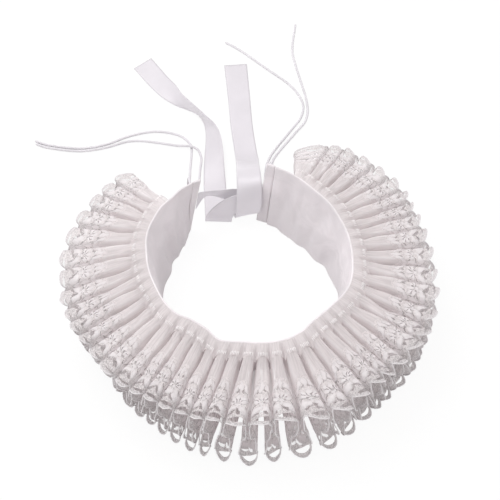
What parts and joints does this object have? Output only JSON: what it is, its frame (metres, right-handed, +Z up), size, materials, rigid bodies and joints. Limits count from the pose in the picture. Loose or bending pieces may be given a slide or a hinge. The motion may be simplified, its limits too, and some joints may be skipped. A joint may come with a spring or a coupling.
{
  "type": "ruff collar",
  "caption": "Pleated lace ruff collar on a standing neckband, with crossed satin ribbon ties and thin drawstrings at the open back.",
  "frame": {"origin": "on the floor under the middle of the collar and its two ribbon tails", "axes": "+Z up through the neck, -Y to the front of the collar, +Y to its open back, +X to the right seen from the front"},
  "size_m": [0.3312, 0.4486, 0.058],
  "materials": {
    "band_cotton": "plain woven white cotton, matt",
    "lace_organza": "sheer white organza with white corded embroidery",
    "satin_ribbon": "white satin with a soft sheen",
    "drawstring": "fine white cord"
  },
  "bodies": {
    "root": {"neckband": "band_cotton", "hem_right": "band_cotton", "hem_left": "band_cotton", "ruffle_right_back": "lace_organza", "ruffle_right_front": "lace_organza", "ruffle_left_front": "lace_organza", "ruffle_left_back": "lace_organza", "tie_right": "satin_ribbon", "tie_left": "satin_ribbon", "cord_left_upper": "drawstring", "cord_left_lower": "drawstring", "cord_right_outer": "drawstring", "cord_right_inner": "drawstring"}
  },
  "joints": []
}
